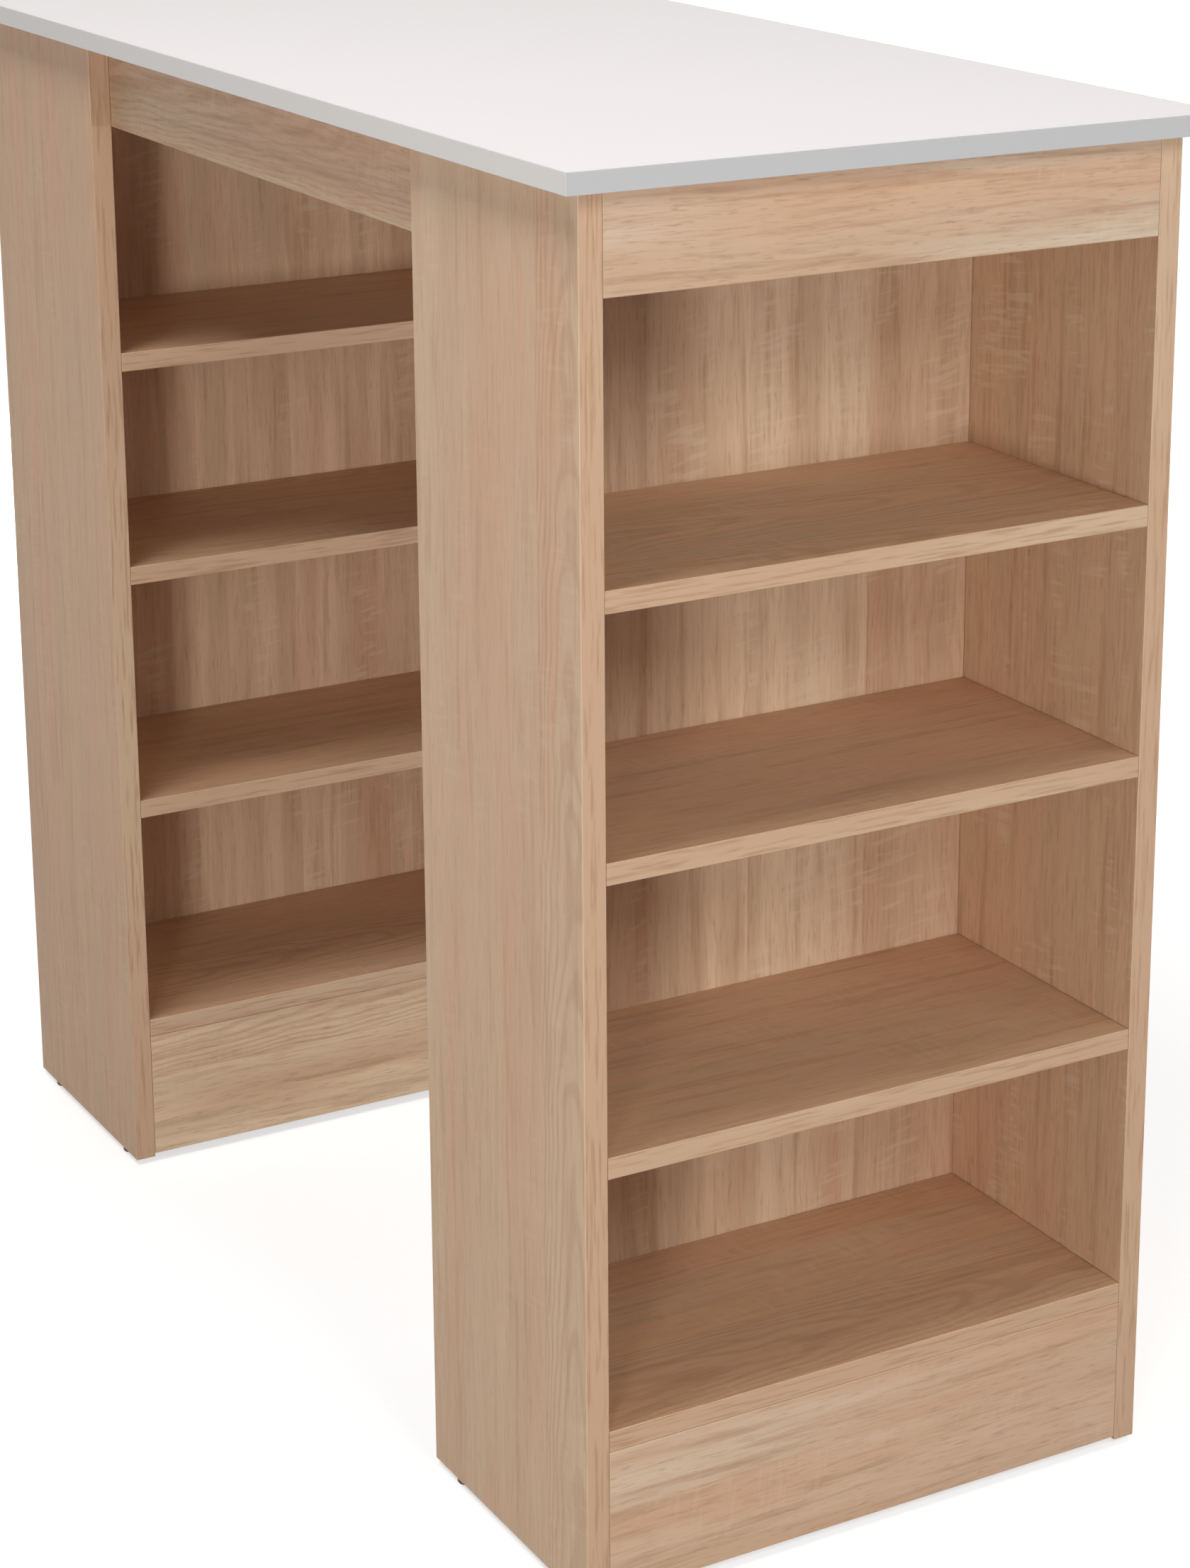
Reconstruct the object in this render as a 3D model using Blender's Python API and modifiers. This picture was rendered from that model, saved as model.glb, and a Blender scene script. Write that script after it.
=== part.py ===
"""Bar table: a white top on two open shelf towers, which two aprons join above the knee space.

Metres, +Z up. The origin is on the floor under the middle of the top, +X runs along the table
and +Y to its rear. Both towers open towards +X: the right one at the table's end, the left one
into the knee space.
"""
import math
from collections import defaultdict, namedtuple

import bmesh
import bpy
from mathutils import Matrix, Vector

# Overall sizes
TOP_LENGTH = 1.130
TOP_DEPTH = 0.520
TABLE_HEIGHT = 1.030
TOP_BOARD = 0.015
OVERHANG_END = 0.022
OVERHANG_SIDE = 0.020
EDGE_BAND = 0.001

# Towers: heights are those of a shelf's upper face over the floor
TOWER_WIDTH = 0.240
SIDE_BOARD = 0.018
BOARD = 0.016
RAIL_HEIGHT = 0.072
UPPER_SHELF_TOP = 0.749
MIDDLE_SHELF_TOP = 0.560
LOWER_SHELF_TOP = 0.346
BOTTOM_SHELF_TOP = 0.138
PLINTH_LIFT = 0.003

# Clearances and eased edges: a seat is the gap between pieces that touch
SEAT = 0.0003
BOLT_PLAY = 0.0006
GLUE_LINE = 0.0001
EDGE_EASE = 0.0005

# Wooden dowels, glued into the ends of the boards
DOWEL_DIAMETER = 0.008
DOWEL_REACH = 0.010
OVERRUN = 0.00125
SHELF_DOWEL_INSET = 0.040
RAIL_DOWEL_EDGE = 0.010
PLINTH_DOWEL_EDGE = 0.025
BACK_DOWEL_MARGIN = 0.100
BACK_DOWELS = 4

# Cam fittings that pull the aprons against the towers
FITTING_SPREAD = 0.020
CAM_DIAMETER = 0.0147
CAM_BELOW_AXIS = 0.0048
CAM_SLOT_WIDTH = 0.0013
CAM_SLOT_LENGTH = 0.0085
CAM_SLOT_DEPTH = 0.0020
BOLT_REACH = 0.024
BOLT_THREAD_DIAMETER = 0.005
BOLT_THREAD_LENGTH = 0.011
BOLT_SHANK_DIAMETER = 0.007
BOLT_NECK_DIAMETER = 0.004
BOLT_NECK_LENGTH = 0.005
BOLT_HEAD_LENGTH = 0.003
BOLT_TIP_CHAMFER = 0.001
BOLT_NECK_TAPER = 0.0006

# Moulded blocks that hold the top, each with two pegs and one screw
BLOCK_LENGTH = 0.032
BLOCK_SIZE = 0.018
BLOCK_CHAMFER = 0.008
BLOCK_INSET = 0.040
PEG_DIAMETER = 0.005
PEG_REACH = 0.009
PEG_SPREAD = 0.020
SCREW_DIAMETER = 0.0036
SCREW_HEAD_DIAMETER = 0.0074
SCREW_HEAD_HEIGHT = 0.0024
SCREW_HEAD_CROWN = 0.0015
SCREW_IN_TOP = 0.010
SCREW_RECESS = 0.003

# Nail-on glides under the side boards
GLIDE_HEIGHT = 0.005
GLIDE_DIAMETER = 0.0155
GLIDE_INSET = 0.035
GLIDE_ROUND = 0.0012
GLIDE_RIM_EASE = 0.0006
NAIL_DIAMETER = 0.002
NAIL_LENGTH = 0.014

# Facets of round pieces
DOWEL_SIDES = 8
FITTING_SIDES = 12
TURNED_SIDES = 14
CAM_SIDES = 24

# Places that follow from the sizes above
TOP_UNDERSIDE = TABLE_HEIGHT - TOP_BOARD
TOWER_DEPTH = TOP_DEPTH - 2 * OVERHANG_SIDE
INNER_HALF = TOWER_DEPTH / 2 - SIDE_BOARD
CARCASS_TOP = TOP_UNDERSIDE - SEAT
RAIL_BOTTOM = TOP_UNDERSIDE - RAIL_HEIGHT
RAIL_MIDDLE = (CARCASS_TOP + RAIL_BOTTOM) / 2
RIGHT_OPENING = TOP_LENGTH / 2 - OVERHANG_END
LEFT_OPENING = -TOP_LENGTH / 2 + OVERHANG_END + TOWER_WIDTH

UP = Vector((0, 0, 1))
Round = namedtuple("Round", "point axis diameter length")
stubs = defaultdict(list)
bores = defaultdict(list)
counterbores = defaultdict(list)


def clear_scene():
    """Start from an empty scene."""
    for obj in list(bpy.data.objects):
        bpy.data.objects.remove(obj, do_unlink=True)


def new_collection(name):
    """A collection that hangs under the scene's own."""
    collection = bpy.data.collections.new(name)
    bpy.context.scene.collection.children.link(collection)
    return collection


def new_material(name, colour, roughness, metallic=0.0):
    """One Principled finish; colour is linear."""
    material = bpy.data.materials.new(name)
    material.use_nodes = True
    shader = material.node_tree.nodes["Principled BSDF"]
    shader.inputs["Base Color"].default_value = (*colour, 1.0)
    shader.inputs["Roughness"].default_value = roughness
    shader.inputs["Metallic"].default_value = metallic
    material.diffuse_color = (*colour, 1.0)
    return material


def file_under(obj, name, collection, material=None):
    """Name an object and keep it in one collection only."""
    obj.name = name
    obj.data.name = name
    for old in list(obj.users_collection):
        old.objects.unlink(obj)
    collection.objects.link(obj)
    if material:
        obj.data.materials.clear()
        obj.data.materials.append(material)
    return obj


def add_box(name, low, high, collection, material=None):
    """A box between two corners, with its scale applied."""
    low = Vector(low)
    high = Vector(high)
    bpy.ops.mesh.primitive_cube_add(size=1.0, location=(low + high) / 2)
    box = bpy.context.object
    box.scale = high - low
    bpy.ops.object.transform_apply(location=False, rotation=False, scale=True)
    return file_under(box, name, collection, material)


def add_board(name, low, high, material):
    """A board, or a band, with lightly eased edges."""
    board = add_box(name, low, high, table, material)
    bevel = board.modifiers.new("eased edges", "BEVEL")
    bevel.width = min(EDGE_EASE, min(board.dimensions) / 4)
    bevel.segments = 1
    bevel.limit_method = "ANGLE"
    return board


def hide_guide(guide):
    """Guides and cutters show as wire and aren't rendered."""
    guide.hide_render = True
    guide.display_type = "WIRE"
    return guide


def add_rounds(name, rounds, back=OVERRUN):
    """One guide mesh with a round bar for each entry, begun a little behind its point."""
    mesh = bpy.data.meshes.new(name)
    shape = bmesh.new()
    for entry in rounds:
        axis = Vector(entry.axis)
        length = entry.length + back
        middle = Vector(entry.point) + axis * (entry.length - back) / 2
        turn = axis.to_track_quat("Z", "Y").to_matrix().to_4x4()
        bmesh.ops.create_cone(
            shape,
            cap_ends=True,
            segments=DOWEL_SIDES,
            radius1=entry.diameter / 2,
            radius2=entry.diameter / 2,
            depth=length,
            matrix=Matrix.Translation(middle) @ turn,
        )
    shape.to_mesh(mesh)
    shape.free()
    guide = bpy.data.objects.new(name, mesh)
    guides.objects.link(guide)
    return hide_guide(guide)


def combine(obj, guide, operation):
    """Cut a guide from an object, or join it on."""
    boolean = obj.modifiers.new(guide.name, "BOOLEAN")
    boolean.operation = operation
    boolean.solver = "EXACT"
    boolean.object = guide


def add_turned(name, profile, place, axis, material, sides=TURNED_SIDES):
    """A turned piece: profile lists (radius, height) down its outer side, height along axis."""
    mesh = bpy.data.meshes.new(name)
    points = [(radius, 0.0, height) for radius, height in profile]
    mesh.from_pydata(points, [(i, i + 1) for i in range(len(points) - 1)], [])
    piece = bpy.data.objects.new(name, mesh)
    table.objects.link(piece)
    screw = piece.modifiers.new("turned", "SCREW")
    screw.steps = sides
    screw.render_steps = sides
    screw.use_merge_vertices = True
    screw.merge_threshold = 0.00005
    bpy.context.view_layer.objects.active = piece
    piece.select_set(True)
    bpy.ops.object.modifier_apply(modifier=screw.name)
    piece.select_set(False)
    piece.location = place
    piece.rotation_mode = "QUATERNION"
    piece.rotation_quaternion = Vector(axis).to_track_quat("Z", "Y")
    smooth_round(piece)
    return file_under(piece, name, table, material)


def smooth_round(piece):
    """Smooth facets, sharp corners."""
    piece.data.shade_smooth()
    piece.data.set_sharp_from_angle(angle=math.radians(40))


def dowel(point, axis, from_board, into_board):
    """A glued dowel in the end of one board, and the bore that it enters in another."""
    point = Vector(point)
    axis = Vector(axis)
    stubs[from_board].append(Round(point, axis, DOWEL_DIAMETER, DOWEL_REACH))
    bores[into_board].append(
        Round(point + axis * SEAT, axis, DOWEL_DIAMETER + 2 * SEAT, DOWEL_REACH))


def side_name(tower, end):
    """The side board at the front, end -1, or the rear, end 1, of a tower."""
    return f"{tower}_tower_{'front' if end < 0 else 'rear'}_side"


def dowels_to_sides(board_name, tower, places):
    """Dowels at (x, z) places in both ends of a board that spans from side to side."""
    for end in (-1, 1):
        for x, z in places:
            point = (x, end * (INNER_HALF - SEAT), z)
            dowel(point, (0, end, 0), board_name, side_name(tower, end))


def build_tower(tower, x_open):
    """Nine boards: two sides, a back, a rail, four shelves and a plinth."""
    x_back = x_open - TOWER_WIDTH
    x_inside = x_back + BOARD + SEAT
    span = INNER_HALF - SEAT

    for end in (-1, 1):
        low_y = min(end * INNER_HALF, end * TOWER_DEPTH / 2)
        high_y = max(end * INNER_HALF, end * TOWER_DEPTH / 2)
        low = (x_back, low_y, GLIDE_HEIGHT)
        high = (x_open, high_y, CARCASS_TOP)
        add_board(side_name(tower, end), low, high, oak)

    name = f"{tower}_tower_back"
    low_z = GLIDE_HEIGHT + PLINTH_LIFT
    add_board(name, (x_back, -span, low_z), (x_back + BOARD, span, CARCASS_TOP), oak)
    first = low_z + BACK_DOWEL_MARGIN
    step = (CARCASS_TOP - BACK_DOWEL_MARGIN - first) / (BACK_DOWELS - 1)
    places = [(x_back + BOARD / 2, first + i * step) for i in range(BACK_DOWELS)]
    dowels_to_sides(name, tower, places)

    name = f"{tower}_tower_top_rail"
    add_board(name, (x_open - BOARD, -span, RAIL_BOTTOM), (x_open, span, CARCASS_TOP), oak)
    heights = (RAIL_BOTTOM + RAIL_DOWEL_EDGE, CARCASS_TOP - RAIL_DOWEL_EDGE)
    dowels_to_sides(name, tower, [(x_open - BOARD / 2, z) for z in heights])

    shelves = {
        "upper_shelf": UPPER_SHELF_TOP,
        "middle_shelf": MIDDLE_SHELF_TOP,
        "lower_shelf": LOWER_SHELF_TOP,
        "bottom_shelf": BOTTOM_SHELF_TOP,
    }
    for shelf, top in shelves.items():
        name = f"{tower}_tower_{shelf}"
        add_board(name, (x_inside, -span, top - BOARD), (x_open, span, top), oak)
        dowel_x = (x_inside + SHELF_DOWEL_INSET, x_open - SHELF_DOWEL_INSET)
        dowels_to_sides(name, tower, [(x, top - BOARD / 2) for x in dowel_x])

    name = f"{tower}_tower_plinth"
    high_z = BOTTOM_SHELF_TOP - BOARD - SEAT
    add_board(name, (x_open - BOARD, -span, low_z), (x_open, span, high_z), oak)
    heights = (low_z + PLINTH_DOWEL_EDGE, high_z - PLINTH_DOWEL_EDGE)
    dowels_to_sides(name, tower, [(x_open - BOARD / 2, z) for z in heights])

    for end in (-1, 1):
        place = "front" if end < 0 else "rear"
        glides = {"back": x_back + GLIDE_INSET, "opening": x_open - GLIDE_INSET}
        for where, x in glides.items():
            add_glide(f"{tower}_{place}_glide_{where}", x, end, side_name(tower, end))
        blocks = {"back": x_back + BOARD + BLOCK_INSET, "opening": x_open - BOARD - BLOCK_INSET}
        for where, x in blocks.items():
            add_top_block(f"{tower}_{place}_top_{where}", x, end, side_name(tower, end))


def add_glide(name, x, end, side):
    """A plastic glide with its steel nail, driven into the lower edge of a side board."""
    y = end * (TOWER_DEPTH / 2 - SIDE_BOARD / 2)
    top = GLIDE_HEIGHT - SEAT
    radius = GLIDE_DIAMETER / 2
    nail = NAIL_DIAMETER / 2
    tip = GLIDE_HEIGHT + NAIL_LENGTH
    profile = [
        (0.0, tip),
        (nail, tip - NAIL_DIAMETER),
        (nail, top),
        (radius - GLIDE_RIM_EASE, top),
        (radius, top - GLIDE_RIM_EASE),
        *quarter_round(radius - GLIDE_ROUND, GLIDE_ROUND),
        (0.0, 0.0),
    ]
    add_turned(name, profile, (x, y, 0.0), UP, glide_plastic)
    point = Vector((x, y, GLIDE_HEIGHT))
    bores[side].append(Round(point, UP, NAIL_DIAMETER + 2 * SEAT, NAIL_LENGTH + SEAT))


def quarter_round(inner_radius, size):
    """Three profile points round the lower rim of a turned piece, from its side to its foot."""
    points = []
    for turn in (0.0, math.pi / 4, math.pi / 2):
        points.append((inner_radius + size * math.cos(turn), size * (1 - math.sin(turn))))
    return points


def add_top_block(name, x, end, side):
    """A moulded block in the corner of side and top, its pegs in the side, and its screw."""
    wall = end * (INNER_HALF - SEAT)
    inner = wall - end * BLOCK_SIZE
    low = (x - BLOCK_LENGTH / 2, min(wall, inner), CARCASS_TOP - BLOCK_SIZE)
    high = (x + BLOCK_LENGTH / 2, max(wall, inner), CARCASS_TOP)
    block = add_box(f"{name}_block", low, high, table, block_plastic)
    chamfer_lower_edge(block, -end)
    peg_z = CARCASS_TOP - BLOCK_SIZE / 2
    for offset in (-PEG_SPREAD / 2, PEG_SPREAD / 2):
        point = Vector((x + offset, wall, peg_z))
        axis = Vector((0, end, 0))
        stubs[block.name].append(Round(point, axis, PEG_DIAMETER, PEG_REACH))
        bores[side].append(Round(point + axis * SEAT, axis, PEG_DIAMETER + 2 * SEAT, PEG_REACH))

    y = (wall + inner) / 2
    underside = Vector((x, y, CARCASS_TOP - BLOCK_SIZE))
    head_depth = SCREW_RECESS + SCREW_HEAD_HEIGHT
    clear_diameter = SCREW_DIAMETER + 2 * SEAT
    counterbores[block.name].append(
        Round(underside, UP, SCREW_HEAD_DIAMETER + 2 * SEAT, head_depth))
    bores[block.name].append(Round(underside, UP, clear_diameter, BLOCK_SIZE + SEAT))
    in_top = Vector((x, y, TOP_UNDERSIDE))
    bores["table_top"].append(Round(in_top, UP, clear_diameter, SCREW_IN_TOP + SEAT))

    head_face = underside.z + SCREW_RECESS
    tip = TOP_UNDERSIDE + SCREW_IN_TOP - head_face
    shaft = SCREW_DIAMETER / 2
    head = SCREW_HEAD_DIAMETER / 2
    profile = [
        (0.0, tip),
        (shaft, tip - SCREW_DIAMETER),
        (shaft, SCREW_HEAD_HEIGHT - SEAT),
        (head, SCREW_HEAD_HEIGHT - SEAT),
        (head, SCREW_HEAD_HEIGHT / 2),
        (head - SCREW_HEAD_CROWN, 0.0),
        (0.0, 0.0),
    ]
    add_turned(f"{name}_screw", profile, (x, y, head_face), UP, steel, sides=FITTING_SIDES)


def chamfer_lower_edge(block, inward):
    """Take off the lower edge that faces the inside of the tower."""
    shape = bmesh.new()
    shape.from_mesh(block.data)
    size = min(BLOCK_CHAMFER, BLOCK_SIZE / 2 - SEAT)
    edges = []
    for edge in shape.edges:
        middle = (edge.verts[0].co + edge.verts[1].co) / 2
        if middle.z < 0 and middle.y * inward > 0 and abs(middle.x) < SEAT:
            edges.append(edge)
    bmesh.ops.bevel(shape, geom=edges, offset=size, segments=1, affect="EDGES")
    shape.to_mesh(block.data)
    shape.free()


def build_aprons():
    """Two aprons between the towers, each end on one dowel and one cam fitting."""
    left_x = LEFT_OPENING + SEAT
    right_x = RIGHT_OPENING - TOWER_WIDTH - SEAT
    for end, place in ((-1, "front"), (1, "rear")):
        name = f"{place}_apron"
        outer = end * INNER_HALF
        inner = end * (INNER_HALF - BOARD)
        low = (left_x, min(outer, inner), RAIL_BOTTOM)
        high = (right_x, max(outer, inner), CARCASS_TOP)
        add_board(name, low, high, oak)
        y = (outer + inner) / 2
        left = (left_x, -1, "left_tower_top_rail", "left")
        right = (right_x, 1, "right_tower_back", "right")
        for x, out, carrier, hand in (left, right):
            axis = Vector((out, 0, 0))
            dowel((x, y, RAIL_MIDDLE + FITTING_SPREAD / 2), axis, name, carrier)
            face = Vector((x + out * SEAT, y, RAIL_MIDDLE - FITTING_SPREAD / 2))
            add_cam_fitting(f"{name}_{hand}", face, axis, end, name, carrier)


def add_cam_fitting(name, face, axis, end, apron, carrier):
    """A connecting bolt screwed into the carrier's face, and the cam that grips its head."""
    neck_start = -(BOLT_REACH - BOLT_HEAD_LENGTH / 2 - BOLT_NECK_LENGTH)
    head_start = neck_start - BOLT_NECK_LENGTH
    head_end = head_start - BOLT_HEAD_LENGTH
    thread = BOLT_THREAD_DIAMETER / 2
    shank = BOLT_SHANK_DIAMETER / 2
    neck = BOLT_NECK_DIAMETER / 2
    profile = [
        (0.0, BOLT_THREAD_LENGTH),
        (thread - BOLT_TIP_CHAMFER, BOLT_THREAD_LENGTH),
        (thread, BOLT_THREAD_LENGTH - BOLT_TIP_CHAMFER),
        (thread, -SEAT),
        (shank, -SEAT),
        (shank, neck_start),
        (neck, neck_start - BOLT_NECK_TAPER),
        (neck, head_start + BOLT_NECK_TAPER),
        (shank, head_start),
        (shank, head_end),
        (0.0, head_end),
    ]
    add_turned(f"{name}_bolt", profile, face, axis, steel, sides=FITTING_SIDES)
    thread_bore = Round(face, axis, BOLT_THREAD_DIAMETER + 2 * SEAT, BOLT_THREAD_LENGTH + SEAT)
    bores[carrier].append(thread_bore)
    shank_diameter = BOLT_SHANK_DIAMETER + 2 * BOLT_PLAY
    bores[apron].append(Round(face - axis * SEAT, -axis, shank_diameter, BOLT_REACH - SEAT))

    cam_depth = BOARD / 2 + CAM_BELOW_AXIS
    inner_face = end * (INNER_HALF - BOARD)
    centre = face - axis * BOLT_REACH
    cam_face = Vector((centre.x, inner_face + end * SEAT, centre.z))
    cam = add_cam_drum(f"{name}_cam", cam_face, end, CAM_DIAMETER, cam_depth - SEAT, 0.0)
    file_under(cam, f"{name}_cam", table, zinc)
    smooth_round(cam)

    mouth_start = centre - axis * (BOLT_HEAD_LENGTH / 2 + BOLT_PLAY)
    mouth = Round(mouth_start, axis, BOLT_SHANK_DIAMETER + 2 * SEAT, CAM_DIAMETER)
    combine(cam, add_rounds(f"{name}_cam_mouth", [mouth], 0.0), "DIFFERENCE")

    slot_y = sorted((cam_face.y - end * SEAT, cam_face.y + end * CAM_SLOT_DEPTH))
    long_half = CAM_SLOT_LENGTH / 2
    thin_half = CAM_SLOT_WIDTH / 2
    for tag, half_x, half_z in (("level", long_half, thin_half), ("upright", thin_half, long_half)):
        low = (centre.x - half_x, slot_y[0], centre.z - half_z)
        high = (centre.x + half_x, slot_y[1], centre.z + half_z)
        slot = add_box(f"{name}_cam_slot_{tag}", low, high, guides)
        combine(cam, hide_guide(slot), "DIFFERENCE")

    mouth_of_bore = Vector((centre.x, inner_face, centre.z))
    cutter = add_cam_drum(
        f"{name}_cam_bore", mouth_of_bore, end, CAM_DIAMETER + 2 * SEAT, cam_depth + SEAT, BOARD)
    combine(bpy.data.objects[apron], hide_guide(cutter), "DIFFERENCE")


def add_cam_drum(name, face, end, diameter, depth, back):
    """A drum that goes depth into the apron from its face, begun some way before it."""
    length = depth + back
    bpy.ops.mesh.primitive_cylinder_add(
        vertices=CAM_SIDES,
        radius=diameter / 2,
        depth=length,
        location=face + Vector((0, end * (depth - back) / 2, 0)),
        rotation=(math.pi / 2, 0, 0),
    )
    return file_under(bpy.context.object, name, guides)


def build_top():
    """The white board and the four bands glued round its edges."""
    half_x = TOP_LENGTH / 2
    half_y = TOP_DEPTH / 2
    core_x = half_x - EDGE_BAND - GLUE_LINE
    core_y = half_y - EDGE_BAND - GLUE_LINE
    low = (-core_x, -core_y, TOP_UNDERSIDE)
    high = (core_x, core_y, TABLE_HEIGHT)
    add_box("table_top", low, high, table, white_melamine)
    add_band("left", (-half_x, -half_y), (-half_x + EDGE_BAND, half_y))
    add_band("right", (half_x - EDGE_BAND, -half_y), (half_x, half_y))
    add_band("front", (-core_x, -half_y), (core_x, -half_y + EDGE_BAND))
    add_band("rear", (-core_x, half_y - EDGE_BAND), (core_x, half_y))


def add_band(side, low, high):
    """One edge band, as high as the board, with its edges eased."""
    low = (*low, TOP_UNDERSIDE)
    high = (*high, TABLE_HEIGHT)
    add_board(f"top_edge_band_{side}", low, high, edge_band_plastic)


def fit_dowels_and_bores():
    """Join each board's dowels on, then cut its bores, one guide mesh for each kind."""
    dowels = ("dowels", stubs, "UNION")
    wide = ("counterbores", counterbores, "DIFFERENCE")
    plain = ("bores", bores, "DIFFERENCE")
    for kind, boards, operation in (dowels, wide, plain):
        for name, rounds in boards.items():
            combine(bpy.data.objects[name], add_rounds(f"{name}_{kind}", rounds), operation)


clear_scene()
table = new_collection("bar_table")
guides = new_collection("cutters_and_guides")

oak = new_material("oak_melamine", (0.48, 0.33, 0.21), 0.55)
white_melamine = new_material("white_melamine", (0.82, 0.80, 0.79), 0.40)
edge_band_plastic = new_material("white_abs_edge_band", (0.80, 0.79, 0.78), 0.35)
block_plastic = new_material("beige_polyamide", (0.62, 0.52, 0.40), 0.50)
glide_plastic = new_material("brown_polyethylene", (0.045, 0.028, 0.020), 0.45)
steel = new_material("zinc_plated_steel", (0.62, 0.62, 0.60), 0.35, 1.0)
zinc = new_material("zinc_die_casting", (0.48, 0.48, 0.47), 0.45, 1.0)

build_tower("right", RIGHT_OPENING)
build_tower("left", LEFT_OPENING)
build_aprons()
build_top()
fit_dowels_and_bores()
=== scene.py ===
"""The looks of the bar table: oak melamine towers and aprons, a white melamine top, glides, fittings."""
import math

import bpy
from mathutils import Matrix, Vector

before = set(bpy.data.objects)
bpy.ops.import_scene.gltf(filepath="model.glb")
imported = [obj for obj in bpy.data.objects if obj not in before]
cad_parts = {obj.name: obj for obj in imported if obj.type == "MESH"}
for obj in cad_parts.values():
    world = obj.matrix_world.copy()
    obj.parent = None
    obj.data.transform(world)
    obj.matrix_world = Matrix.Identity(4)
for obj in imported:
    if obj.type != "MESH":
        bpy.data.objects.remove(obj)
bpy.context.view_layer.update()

MILLIMETRE = 0.001
WHITE = (1.0, 1.0, 1.0, 1.0)

# The photograph's frame in pixels, and the camera that was fitted to the table's edges
IMAGE_WIDTH = 1679
IMAGE_HEIGHT = 2212
SENSOR = 36.0
FOCAL_PIXELS = 4976.4
AXIS_PIXEL_X = 971.2
AXIS_PIXEL_Y = 795.3
CAMERA_PLACE = (2.4753, -1.2936, 1.3854)
CAMERA_FORWARD = (-0.830467, 0.487697, -0.269216)
CAMERA_UP = (-0.232703, 0.135379, 0.963079)
CLIP_START = 0.05
CLIP_END = 100.0

# Sizes of the printed oak pattern, in metres
STAVE = 98 * MILLIMETRE
WANDER_WIDTH = 200 * MILLIMETRE
WANDER_LENGTH = 450 * MILLIMETRE
WANDER = 20 * MILLIMETRE
ARCH_WIDTH = 21 * MILLIMETRE
ARCH_RISE = 100 * MILLIMETRE
RAY_TILT = math.radians(8)

# How far apart in the print two staves, and two boards, are taken from
STAVE_JUMP = (1.7, 1.3, 2.9)
BOARD_JUMP = (0.37, 0.61, 1.13)

# How uneven the staves' widths are, how rough and detailed the noise is, how far the arches curl
STAVE_UNEVENNESS = 0.35
MARK_ROUGHNESS = 0.55
WANDER_DETAIL = 3.5
CURL = 3.0

# Width across the grain and length along it of each mark in the print, in metres, and its detail.
# Real fibres and pores are 0.2 to 0.5 mm wide, too fine to show, so they are drawn coarser.
OAK_MARKS = {
    "tone": (26 * MILLIMETRE, 900 * MILLIMETRE, 2.5),
    "tint": (55 * MILLIMETRE, 540 * MILLIMETRE, 2.5),
    "streak": (8 * MILLIMETRE, 150 * MILLIMETRE, 3.5),
    "fibre": (2.2 * MILLIMETRE, 38 * MILLIMETRE, 2.5),
    "pore": (1.5 * MILLIMETRE, 15 * MILLIMETRE, 1.0),
    "curl": (48 * MILLIMETRE, 90 * MILLIMETRE, 1.5),
    "ray": (34 * MILLIMETRE, 5.4 * MILLIMETRE, 1.0),
    "ray_field": (46 * MILLIMETRE, 130 * MILLIMETRE, 1.5),
    "band_dash": (2.4 * MILLIMETRE, 46 * MILLIMETRE, 2.0),
}

# Each share of colour: its mark, the range of the mark that takes it from nothing to its most,
# and that most, which a board's own strengths then scale for the lines and rays
OAK_SHARES = {
    "grey": ("tone", 0.38, 0.64, 0.6),
    "rosy": ("tint", 0.46, 0.70, 0.8),
    "stave": ("stave_tone", 0.0, 1.0, 0.36),
    "streak": ("streak", 0.48, 0.74, 1.5),
    "fibre": ("fibre", 0.46, 0.76, 1.0),
    "pore": ("pore", 0.58, 0.76, 0.8),
    "arch_line": ("arch_line", -0.2, 1.0, 0.42),
    "arched_stave": ("arched_stave", 0.56, 0.64, 0.8),
    "ray": ("ray", 0.50, 0.66, 1.0),
    "ray_field": ("ray_field", 0.50, 0.62, 1.0),
    "on_band": ("square_on", 0.80, 0.60, 1.0),
    "band_dash": ("band_dash", 0.48, 0.70, 0.6),
    "corner": ("corner", 0.0, 1.0, 0.7),
}

# A face counts as an eased corner when it looks halfway between two axes, give or take this
CORNER_SPREAD = 0.25

# The film's sheen from the least to the most fibrous places, and how deep the pores are pressed
OAK_FIBRE_RANGE = (0.3, 0.8)
OAK_ROUGHNESS = (0.46, 0.58)
OAK_PRESS = 0.10
OAK_PRESS_DEPTH = 0.15 * MILLIMETRE
OAK_SPECULAR = 0.4

# Shades of the oak print. Some grounds are partly painted light and shade: the pale sand and the
# straw are painted lighter, the tan is painted darker and the pale rose warmer with shade
OAK_SAND = "#CCB294"
OAK_PALE_SAND_PAINTED_LIGHT = "#E0C4A6"
OAK_PALE_ROSE = "#E3C0A2"
OAK_CREAM = "#D6C5B1"
OAK_BUFF = "#D5BDA3"
OAK_STRAW_PAINTED_LIGHT = "#ECD0AF"
OAK_TAN_PAINTED_SHADE = "#CCA685"
OAK_WARM = "#CDA480"
OAK_GREY = "#C0A284"
OAK_ROSE = "#CBA082"
OAK_STREAK = "#A88161"
OAK_PORE = "#916C4F"
OAK_RAY = "#DEC9AE"
OAK_BAND = "#C6A386"
# The pale eased corner: partly the band's glue line, partly a painted highlight
OAK_CORNER_GLUE_AND_HIGHLIGHT = "#D9BC9D"

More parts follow.
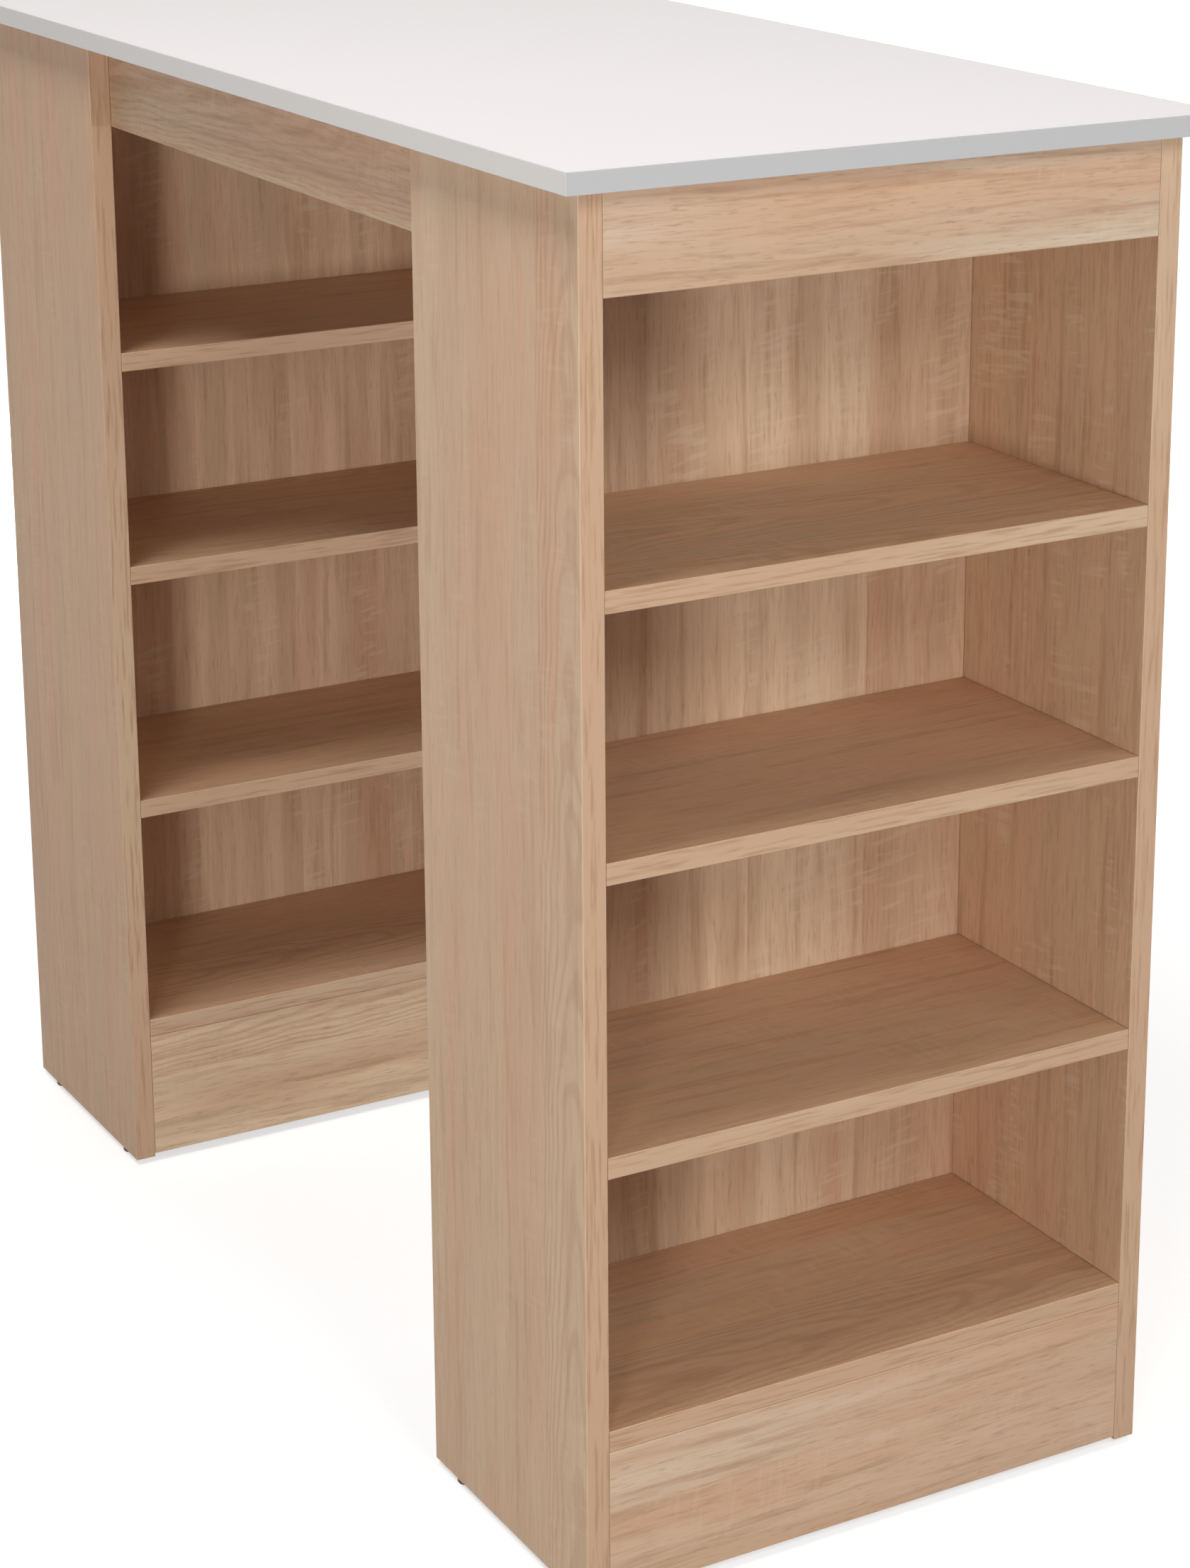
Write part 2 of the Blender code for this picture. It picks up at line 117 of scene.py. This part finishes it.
# Each board: the axis that its print runs along, the axis that its wide faces look along, its
# ground, and the strengths of its rays and of its fine lines
TOWER_BOARDS = {
    "front_side": ("Z", "Y", OAK_SAND, 0.10, 0.26),
    # The rear side's tan ground is partly painted shade
    "rear_side": ("Z", "Y", OAK_TAN_PAINTED_SHADE, 0.30, 0.42),
    # The back's pale ground is partly painted light
    "back": ("Z", "X", OAK_PALE_SAND_PAINTED_LIGHT, 0.40, 0.31),
    "top_rail": ("Y", "X", OAK_CREAM, 0.10, 0.44),
    "plinth": ("Y", "X", OAK_BUFF, 0.12, 0.38),
    "upper_shelf": ("Y", "Z", OAK_WARM, 0.12, 0.32),
    "middle_shelf": ("Y", "Z", OAK_WARM, 0.12, 0.32),
    "lower_shelf": ("Y", "Z", OAK_WARM, 0.12, 0.32),
    "bottom_shelf": ("Y", "Z", OAK_WARM, 0.12, 0.32),
}
APRON_BOARD = ("X", "Y", OAK_SAND, 0.12, 0.40)

# Boards of the left tower with other grounds than the right one's: the darker front side and the
# rosier back are partly painted shade, the lighter plinth is partly painted light
LEFT_TOWER_BOARDS = {
    "front_side": ("Z", "Y", OAK_TAN_PAINTED_SHADE, 0.10, 0.26),
    "back": ("Z", "X", OAK_PALE_ROSE, 0.40, 0.29),
    "plinth": ("Y", "X", OAK_STRAW_PAINTED_LIGHT, 0.12, 0.40),
}

# The number that gives each board its own piece of the print
FIRST_TOWER_SEED = 1
APRON_SEEDS = {"front_apron": 31, "rear_apron": 32}

# The white top's shades: the bands are painted grey with shade, the short ones darker; and how much
# darker its clouds are
TOP_FILM = "#F2ECEB"
TOP_LONG_BAND_PAINTED_SHADE = "#D6D2CF"
TOP_SHORT_BAND_PAINTED_SHADE = "#BEBEBF"
TOP_FILM_MOTTLE = 0.012
TOP_BAND_MOTTLE = 0.02

# White film: clouds a metre, grit in metres (drawn coarser than the real 0.2 mm), its sheen
FILM_CLOUDS = 6.0
FILM_GRIT = 0.9 * MILLIMETRE
FILM_ROUGHNESS = (0.34, 0.46)
FILM_PRESS = 0.06
FILM_PRESS_DEPTH = 0.05 * MILLIMETRE

# Moulded plastic: grit in metres, how dark it gets, how far the sheen goes up and down
PLASTIC_GRIT = 0.5 * MILLIMETRE
PLASTIC_DARKEST = 0.88
PLASTIC_SPREAD = 0.06
PLASTIC_PRESS = 0.15
PLASTIC_PRESS_DEPTH = 0.05 * MILLIMETRE

# Fitting metal: how dark its marks get, how far the sheen goes up and down
METAL_DARKEST = 0.82
METAL_SHINIER = 0.08
METAL_DULLER = 0.10

# Finish of each kind of fitting: shade and roughness, and the metals' length of a mark
GLIDE_BROWN, GLIDE_ROUGHNESS = "#3A2C24", 0.45
BLOCK_BEIGE, BLOCK_ROUGHNESS = "#CDBFA9", 0.5
STEEL_GREY, STEEL_ROUGHNESS, STEEL_MARK = "#C9C9C6", 0.34, 1.2 * MILLIMETRE
ZINC_GREY, ZINC_ROUGHNESS, ZINC_MARK = "#B4B4B2", 0.46, 0.8 * MILLIMETRE

# The floor: its shade to the eye and its shade for the light that it gives back, and its glow by
# the distance in metres from under the table's middle
FLOOR_SIZE = 60.0
FLOOR_SEEN = "#D2D1D0"
FLOOR_LIT = "#9C9894"
FLOOR_ROUGHNESS = 0.9
FLOOR_GLOW_NEAR = 0.60
FLOOR_GLOW_FAR = 1.0
FLOOR_GLOW_START = 0.9
FLOOR_GLOW_END = 3.2

# The light from all round, and the soft boxes: place, width and height in metres, and watts
AMBIENT_SHADE = "#F4F2EE"
AMBIENT = 0.08
LAMP_AIM = (0.2, 0.0, 0.55)
LAMPS = {
    "high_soft_box": ((0.40, -1.50, 3.70), 1.3, 1.1, 58),
    "corner_lamp": ((2.99, -2.28, 0.76), 0.50, 0.50, 51),
    "side_soft_box": ((0.90, -3.60, 0.60), 1.6, 0.8, 12),
    "end_soft_box": ((3.15, 0.00, 2.60), 1.3, 1.1, 33),
    "far_soft_box": ((2.95, 1.62, 2.00), 1.3, 1.1, 15),
    "closed_end_soft_box": ((-3.30, 0.60, 0.50), 1.8, 0.8, 60),
    "rear_soft_box": ((1.00, 3.50, 0.60), 1.4, 0.6, 50),
    "overhead_soft_box": ((-0.90, 1.00, 3.60), 1.3, 1.1, 12),
}


def linear(code):
    """A six-figure sRGB colour as linear red, green, blue and a full alpha."""
    parts = []
    for start in (1, 3, 5):
        value = int(code[start:start + 2], 16) / 255
        parts.append(value / 12.92 if value <= 0.04045 else ((value + 0.055) / 1.055) ** 2.4)
    return (*parts, 1.0)


def add(owner, kind, inputs=None, **settings):
    """One node in a material or world, with its settings made and its inputs linked or set."""
    tree = owner.node_tree
    node = tree.nodes.new(kind)
    for name, value in settings.items():
        setattr(node, name, value)
    for socket, value in (inputs or {}).items():
        if isinstance(value, bpy.types.NodeSocket):
            tree.links.new(value, node.inputs[socket])
        else:
            node.inputs[socket].default_value = value
    return node


def new_material(name):
    """An empty Principled material: the material and its shader."""
    material = bpy.data.materials.new(name)
    material.use_nodes = True
    return material, material.node_tree.nodes["Principled BSDF"]


def paint(material, *nodes):
    """Give CAD nodes this material in all their slots."""
    for node in nodes:
        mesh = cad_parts[node].data
        if not mesh.materials:
            mesh.materials.append(material)
        for slot in range(len(mesh.materials)):
            mesh.materials[slot] = material


def oak_melamine(name, seed, grain, face, ground, rays, lines):
    """Light oak print under a satin melamine film, on chipboard.

    seed picks the board's own piece of the print, grain is the axis that the print runs along,
    face the axis that the board's wide faces look along. Staves about 100 mm wide differ in
    tone; over the ground each has soft greyish and rosy stripes, thin brown streaks and fibres,
    short dark pores and pale rays across the grain, and some show curled arches. rays and lines
    are the strengths of the rays and of the streaks, fibres and pores. The narrow faces have an
    edge band with a plainer, more broken stripe and a pale eased corner, partly the band's glue
    line and partly a painted highlight. The film gives an even, low sheen.
    """
    material, shader = new_material(name)
    coordinates = add(material, "ShaderNodeTexCoord")
    axes = add(material, "ShaderNodeSeparateXYZ", {0: coordinates.outputs["Object"]})
    across = next(axis for axis in "XYZ" if axis not in (grain, face))
    turned = add(material, "ShaderNodeCombineXYZ", {
        0: axes.outputs[across], 1: axes.outputs[face], 2: axes.outputs[grain]})
    shift = [jump * seed for jump in BOARD_JUMP]
    board = add(material, "ShaderNodeMapping", {0: turned.outputs[0], "Location": shift})

    # A slow wander keeps the stripes from being ruled lines
    slow = add(material, "ShaderNodeMapping", {
        0: board.outputs[0], "Scale": (1 / WANDER_WIDTH, 1 / WANDER_WIDTH, 1 / WANDER_LENGTH)})
    drift = add(material, "ShaderNodeTexNoise", {
        "Vector": slow.outputs[0], "Scale": 1.0, "Detail": WANDER_DETAIL})
    centred = add(material, "ShaderNodeVectorMath", {
        0: drift.outputs["Color"], 1: (0.5, 0.5, 0.5)}, operation="SUBTRACT")
    wandered = add(material, "ShaderNodeVectorMath", {
        0: centred.outputs[0], 1: (WANDER, WANDER, 0.0), 2: board.outputs[0]},
        operation="MULTIPLY_ADD")

    # Staves: sharp steps of tone, each with its own piece of the print
    places = add(material, "ShaderNodeSeparateXYZ", {0: board.outputs[0]})
    stave_place = add(material, "ShaderNodeMath", {
        0: places.outputs[0], 1: STAVE}, operation="DIVIDE")
    stave = add(material, "ShaderNodeTexVoronoi", {
        "W": stave_place.outputs[0], "Scale": 1.0, "Randomness": STAVE_UNEVENNESS},
        voronoi_dimensions="1D")
    stave_lots = add(material, "ShaderNodeSeparateColor", {0: stave.outputs["Color"]})
    own = add(material, "ShaderNodeVectorMath", {
        0: stave.outputs["Color"], 1: STAVE_JUMP, 2: wandered.outputs[0]},
        operation="MULTIPLY_ADD")
    leaning = add(material, "ShaderNodeVectorRotate", {
        0: own.outputs[0], "Angle": RAY_TILT}, rotation_type="Y_AXIS")

    # The marks: noise drawn out along the grain, or across it for the rays
    marks = {}
    for mark, (width, length, detail) in OAK_MARKS.items():
        source = {"ray": leaning, "band_dash": board}.get(mark, own)
        place = add(material, "ShaderNodeMapping", {
            0: source.outputs[0], "Scale": (1 / width, 1 / width, 1 / length)})
        noise = add(material, "ShaderNodeTexNoise", {
            "Vector": place.outputs[0], "Scale": 1.0, "Detail": detail,
            "Roughness": MARK_ROUGHNESS})
        marks[mark] = noise.outputs[0]

    # Arches: parabolas about a stave's middle, curled by noise
    own_places = add(material, "ShaderNodeSeparateXYZ", {0: own.outputs[0]})
    off_middle = add(material, "ShaderNodeMath", {
        0: stave.outputs["Distance"], 1: STAVE / ARCH_WIDTH}, operation="MULTIPLY")
    bow = add(material, "ShaderNodeMath", {0: off_middle.outputs[0], 1: 2.0}, operation="POWER")
    rise = add(material, "ShaderNodeMath", {
        0: own_places.outputs[2], 1: 1 / ARCH_RISE, 2: bow.outputs[0]}, operation="MULTIPLY_ADD")
    uneven = add(material, "ShaderNodeMath", {
        0: marks["curl"], 1: CURL, 2: rise.outputs[0]}, operation="MULTIPLY_ADD")
    turn = add(material, "ShaderNodeMath", {
        0: uneven.outputs[0], 1: 2 * math.pi}, operation="MULTIPLY")
    arch_line = add(material, "ShaderNodeMath", {0: turn.outputs[0]}, operation="SINE")
    marks["arch_line"] = arch_line.outputs[0]
    marks["stave_tone"] = stave_lots.outputs[0]
    marks["arched_stave"] = stave_lots.outputs[1]

    # Which way the surface looks tells the wide faces, the banded edges and the corners apart
    looks = add(material, "ShaderNodeSeparateXYZ", {0: coordinates.outputs["Normal"]})
    square_on = add(material, "ShaderNodeMath", {0: looks.outputs[face]}, operation="ABSOLUTE")
    corner = add(material, "ShaderNodeMath", {
        0: square_on.outputs[0], 1: math.sqrt(0.5), 2: CORNER_SPREAD}, operation="COMPARE")
    marks["square_on"] = square_on.outputs[0]
    marks["corner"] = corner.outputs[0]

    # Shares of colour: arches show on some staves alone, rays in their fields alone
    strengths = {"streak": lines, "fibre": lines, "pore": lines, "ray": rays}
    shares = {}
    for share, (mark, low, high, most) in OAK_SHARES.items():
        ranged = add(material, "ShaderNodeMapRange", {
            "Value": marks[mark], "From Min": low, "From Max": high,
            "To Max": most * strengths.get(share, 1.0)}, interpolation_type="SMOOTHSTEP")
        shares[share] = ranged.outputs[0]
    for whole, part in (("arch_line", "arched_stave"), ("ray", "ray_field")):
        narrowed = add(material, "ShaderNodeMath", {
            0: shares[whole], 1: shares[part]}, operation="MULTIPLY")
        shares[whole] = narrowed.outputs[0]

    # The print is laid up from its lightest ground to its darkest marks, and the band by itself
    face_layers = (
        ("grey", OAK_GREY),
        ("rosy", OAK_ROSE),
        ("stave", (OAK_GREY, OAK_ROSE)[seed % 2]),
        ("streak", OAK_STREAK),
        ("arch_line", OAK_STREAK),
        ("fibre", OAK_STREAK),
        ("pore", OAK_PORE),
        ("ray", OAK_RAY),
    )
    # The band's pale corner is partly its glue line and partly a painted highlight
    band_layers = (
        ("rosy", OAK_SAND),
        ("band_dash", OAK_STREAK),
        ("corner", OAK_CORNER_GLUE_AND_HIGHLIGHT),
    )
    laid = {}
    for surface, code, layers in (("face", ground, face_layers), ("band", OAK_BAND, band_layers)):
        colour = linear(code)
        for share, layer_code in layers:
            layer = add(material, "ShaderNodeMix", {
                0: shares[share], 6: colour, 7: linear(layer_code)}, data_type="RGBA")
            colour = layer.outputs[2]
        laid[surface] = colour
    seen = add(material, "ShaderNodeMix", {
        0: shares["on_band"], 6: laid["face"], 7: laid["band"]}, data_type="RGBA")

    shine = add(material, "ShaderNodeMapRange", {
        "Value": marks["fibre"],
        "From Min": OAK_FIBRE_RANGE[0], "From Max": OAK_FIBRE_RANGE[1],
        "To Min": OAK_ROUGHNESS[0], "To Max": OAK_ROUGHNESS[1]})
    pressed = add(material, "ShaderNodeBump", {
        "Height": marks["pore"], "Strength": OAK_PRESS, "Distance": OAK_PRESS_DEPTH})
    links = material.node_tree.links
    links.new(seen.outputs[2], shader.inputs["Base Color"])
    links.new(shine.outputs[0], shader.inputs["Roughness"])
    links.new(pressed.outputs[0], shader.inputs["Normal"])
    shader.inputs["Specular IOR Level"].default_value = OAK_SPECULAR
    return material


def white_melamine(name, code, mottle):
    """White melamine film: an even, faintly warm white, pressed with a very fine satin texture."""
    material, shader = new_material(name)
    point = add(material, "ShaderNodeTexCoord").outputs["Object"]
    cloud = add(material, "ShaderNodeTexNoise", {
        "Vector": point, "Scale": FILM_CLOUDS, "Detail": 3.0})
    shade = add(material, "ShaderNodeMapRange", {
        "Value": cloud.outputs[0], "To Min": 1 - mottle, "To Max": 1.0})
    colour = add(material, "ShaderNodeMix", {
        0: 1.0, 6: linear(code), 7: shade.outputs[0]}, data_type="RGBA", blend_type="MULTIPLY")
    grit = add(material, "ShaderNodeTexNoise", {
        "Vector": point, "Scale": 1 / FILM_GRIT, "Detail": 2.0})
    shine = add(material, "ShaderNodeMapRange", {
        "Value": grit.outputs[0], "To Min": FILM_ROUGHNESS[0], "To Max": FILM_ROUGHNESS[1]})
    pressed = add(material, "ShaderNodeBump", {
        "Height": grit.outputs[0], "Strength": FILM_PRESS, "Distance": FILM_PRESS_DEPTH})
    links = material.node_tree.links
    links.new(colour.outputs[2], shader.inputs["Base Color"])
    links.new(shine.outputs[0], shader.inputs["Roughness"])
    links.new(pressed.outputs[0], shader.inputs["Normal"])
    return material


def moulded_plastic(name, code, roughness):
    """Injection-moulded plastic: one through colour, with the mould's fine spark-eroded grain."""
    material, shader = new_material(name)
    point = add(material, "ShaderNodeTexCoord").outputs["Object"]
    grit = add(material, "ShaderNodeTexNoise", {
        "Vector": point, "Scale": 1 / PLASTIC_GRIT, "Detail": 3.0})
    shade = add(material, "ShaderNodeMapRange", {
        "Value": grit.outputs[0], "To Min": PLASTIC_DARKEST, "To Max": 1.0})
    colour = add(material, "ShaderNodeMix", {
        0: 1.0, 6: linear(code), 7: shade.outputs[0]}, data_type="RGBA", blend_type="MULTIPLY")
    shine = add(material, "ShaderNodeMapRange", {
        "Value": grit.outputs[0],
        "To Min": roughness - PLASTIC_SPREAD, "To Max": roughness + PLASTIC_SPREAD})
    pressed = add(material, "ShaderNodeBump", {
        "Height": grit.outputs[0], "Strength": PLASTIC_PRESS, "Distance": PLASTIC_PRESS_DEPTH})
    links = material.node_tree.links
    links.new(colour.outputs[2], shader.inputs["Base Color"])
    links.new(shine.outputs[0], shader.inputs["Roughness"])
    links.new(pressed.outputs[0], shader.inputs["Normal"])
    return material


def fitting_metal(name, code, roughness, mark):
    """Small steel or zinc fittings: a dull plated skin with tumbling marks about mark long."""
    material, shader = new_material(name)
    point = add(material, "ShaderNodeTexCoord").outputs["Object"]
    marks = add(material, "ShaderNodeTexNoise", {
        "Vector": point, "Scale": 1 / mark, "Detail": 4.0})
    shade = add(material, "ShaderNodeMapRange", {
        "Value": marks.outputs[0], "To Min": METAL_DARKEST, "To Max": 1.0})
    colour = add(material, "ShaderNodeMix", {
        0: 1.0, 6: linear(code), 7: shade.outputs[0]}, data_type="RGBA", blend_type="MULTIPLY")
    shine = add(material, "ShaderNodeMapRange", {
        "Value": marks.outputs[0],
        "To Min": roughness - METAL_SHINIER, "To Max": roughness + METAL_DULLER})
    links = material.node_tree.links
    links.new(colour.outputs[2], shader.inputs["Base Color"])
    links.new(shine.outputs[0], shader.inputs["Roughness"])
    shader.inputs["Metallic"].default_value = 1.0
    return material


def dress_towers():
    """Oak on every tower board: upright on sides and back, level on shelves, rail and plinth."""
    seed = FIRST_TOWER_SEED
    for tower, others in (("right", {}), ("left", LEFT_TOWER_BOARDS)):
        for board, look in {**TOWER_BOARDS, **others}.items():
            node = f"{tower}_tower_{board}"
            paint(oak_melamine(f"oak_melamine_{node}", seed, *look), node)
            seed += 1


def dress_aprons():
    """Oak along the aprons."""
    for node, seed in APRON_SEEDS.items():
        paint(oak_melamine(f"oak_melamine_{node}", seed, *APRON_BOARD), node)


def dress_top():
    """White film on the board, white plastic bands round it in painted grey shade, the short ones
    darker.
    """
    film = white_melamine("white_melamine_film", TOP_FILM, TOP_FILM_MOTTLE)
    long_band_painted_shade = white_melamine("white_abs_edge_band_long_painted_shade", TOP_LONG_BAND_PAINTED_SHADE, TOP_BAND_MOTTLE)
    short_band_painted_shade = white_melamine("white_abs_edge_band_short_painted_shade", TOP_SHORT_BAND_PAINTED_SHADE, TOP_BAND_MOTTLE)
    paint(film, "table_top")
    paint(long_band_painted_shade, "top_edge_band_front", "top_edge_band_rear")
    paint(short_band_painted_shade, "top_edge_band_left", "top_edge_band_right")


def dress_fittings():
    """Glides, blocks, screws, bolts and cams."""
    glide = moulded_plastic("polyethylene_brown_moulded", GLIDE_BROWN, GLIDE_ROUGHNESS)
    block = moulded_plastic("polyamide_beige_moulded", BLOCK_BEIGE, BLOCK_ROUGHNESS)
    steel = fitting_metal("steel_zinc_plated", STEEL_GREY, STEEL_ROUGHNESS, STEEL_MARK)
    zinc = fitting_metal("zinc_die_cast", ZINC_GREY, ZINC_ROUGHNESS, ZINC_MARK)
    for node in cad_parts:
        if "_glide_" in node:
            paint(glide, node)
        elif node.endswith("_block"):
            paint(block, node)
        elif node.endswith(("_screw", "_bolt")):
            paint(steel, node)
        elif node.endswith("_cam"):
            paint(zinc, node)


def seen_ray(owner):
    """1 where the camera, a glossy or a clear surface looks, and 0 for other light."""
    path = add(owner, "ShaderNodeLightPath")
    seen = path.outputs["Is Camera Ray"]
    for name in ("Is Glossy Ray", "Is Transmission Ray"):
        either = add(owner, "ShaderNodeMath", {
            0: seen, 1: path.outputs[name]}, operation="MAXIMUM")
        seen = either.outputs[0]
    return seen


def lay_floor():
    """A plain pale floor that keeps the table's shadow and glows to white away from it.

    The glow is for the eye alone: the light that the floor gives back is duller and has none.
    """
    bpy.ops.object.select_all(action="DESELECT")
    bpy.ops.mesh.primitive_plane_add(size=FLOOR_SIZE, location=(0, 0, 0))
    floor = bpy.context.object
    floor.name = "floor"
    material, shader = new_material("pale_floor")
    seen = seen_ray(material)
    point = add(material, "ShaderNodeTexCoord").outputs["Object"]
    away = add(material, "ShaderNodeVectorMath", {0: point}, operation="LENGTH")
    glow = add(material, "ShaderNodeMapRange", {
        "Value": away.outputs["Value"],
        "From Min": FLOOR_GLOW_START, "From Max": FLOOR_GLOW_END,
        "To Min": FLOOR_GLOW_NEAR, "To Max": FLOOR_GLOW_FAR}, interpolation_type="SMOOTHSTEP")
    strength = add(material, "ShaderNodeMath", {0: seen, 1: glow.outputs[0]}, operation="MULTIPLY")
    colour = add(material, "ShaderNodeMix", {
        0: seen, 6: linear(FLOOR_LIT), 7: linear(FLOOR_SEEN)}, data_type="RGBA")
    links = material.node_tree.links
    links.new(colour.outputs[2], shader.inputs["Base Color"])
    links.new(strength.outputs[0], shader.inputs["Emission Strength"])
    shader.inputs["Emission Color"].default_value = WHITE
    shader.inputs["Roughness"].default_value = FLOOR_ROUGHNESS
    shader.inputs["Specular IOR Level"].default_value = 0.0
    floor.data.materials.append(material)


def light_world():
    """White where it is seen, and a low even light elsewhere."""
    world = bpy.data.worlds.new("studio")
    bpy.context.scene.world = world
    world.use_nodes = True
    world.node_tree.nodes.clear()
    ambient = add(world, "ShaderNodeBackground", {
        "Color": linear(AMBIENT_SHADE), "Strength": AMBIENT})
    shown = add(world, "ShaderNodeBackground", {"Color": WHITE, "Strength": 1.0})
    either = add(world, "ShaderNodeMixShader", {
        0: seen_ray(world), 1: ambient.outputs[0], 2: shown.outputs[0]})
    add(world, "ShaderNodeOutputWorld", {0: either.outputs[0]})


def light_studio():
    """Soft boxes all round the table, and a small lamp off the near corner that draws the shadows.

    Those before the long sides and the closed end stand lower than the top, and the rear one
    also to one side, so that neither the top nor a board mirrors them when seen at a low angle.
    """
    light_world()
    for name, (place, width, height, watts) in LAMPS.items():
        data = bpy.data.lights.new(name, "AREA")
        data.shape = "RECTANGLE"
        data.size = width
        data.size_y = height
        data.energy = watts
        lamp = bpy.data.objects.new(name, data)
        bpy.context.scene.collection.objects.link(lamp)
        lamp.location = place
        facing = Vector(LAMP_AIM) - Vector(place)
        lamp.rotation_euler = facing.to_track_quat("-Z", "Y").to_euler()


def place_camera():
    """The photograph's view, with the lens axis where the fit puts it in the picture."""
    data = bpy.data.cameras.new("camera")
    data.sensor_width = SENSOR
    data.lens = FOCAL_PIXELS * SENSOR / IMAGE_HEIGHT
    data.shift_x = (IMAGE_WIDTH / 2 - AXIS_PIXEL_X) / IMAGE_HEIGHT
    data.shift_y = (AXIS_PIXEL_Y - IMAGE_HEIGHT / 2) / IMAGE_HEIGHT
    data.clip_start = CLIP_START
    data.clip_end = CLIP_END
    camera = bpy.data.objects.new("camera", data)
    bpy.context.scene.collection.objects.link(camera)
    forward = Vector(CAMERA_FORWARD).normalized()
    right = forward.cross(Vector(CAMERA_UP)).normalized()
    up = right.cross(forward)
    turn = Matrix((right, up, -forward)).transposed().to_4x4()
    camera.matrix_world = Matrix.Translation(CAMERA_PLACE) @ turn
    bpy.context.scene.camera = camera


dress_towers()
dress_aprons()
dress_top()
dress_fittings()
lay_floor()
light_studio()
place_camera()
bpy.context.scene.view_settings.view_transform = "Standard"
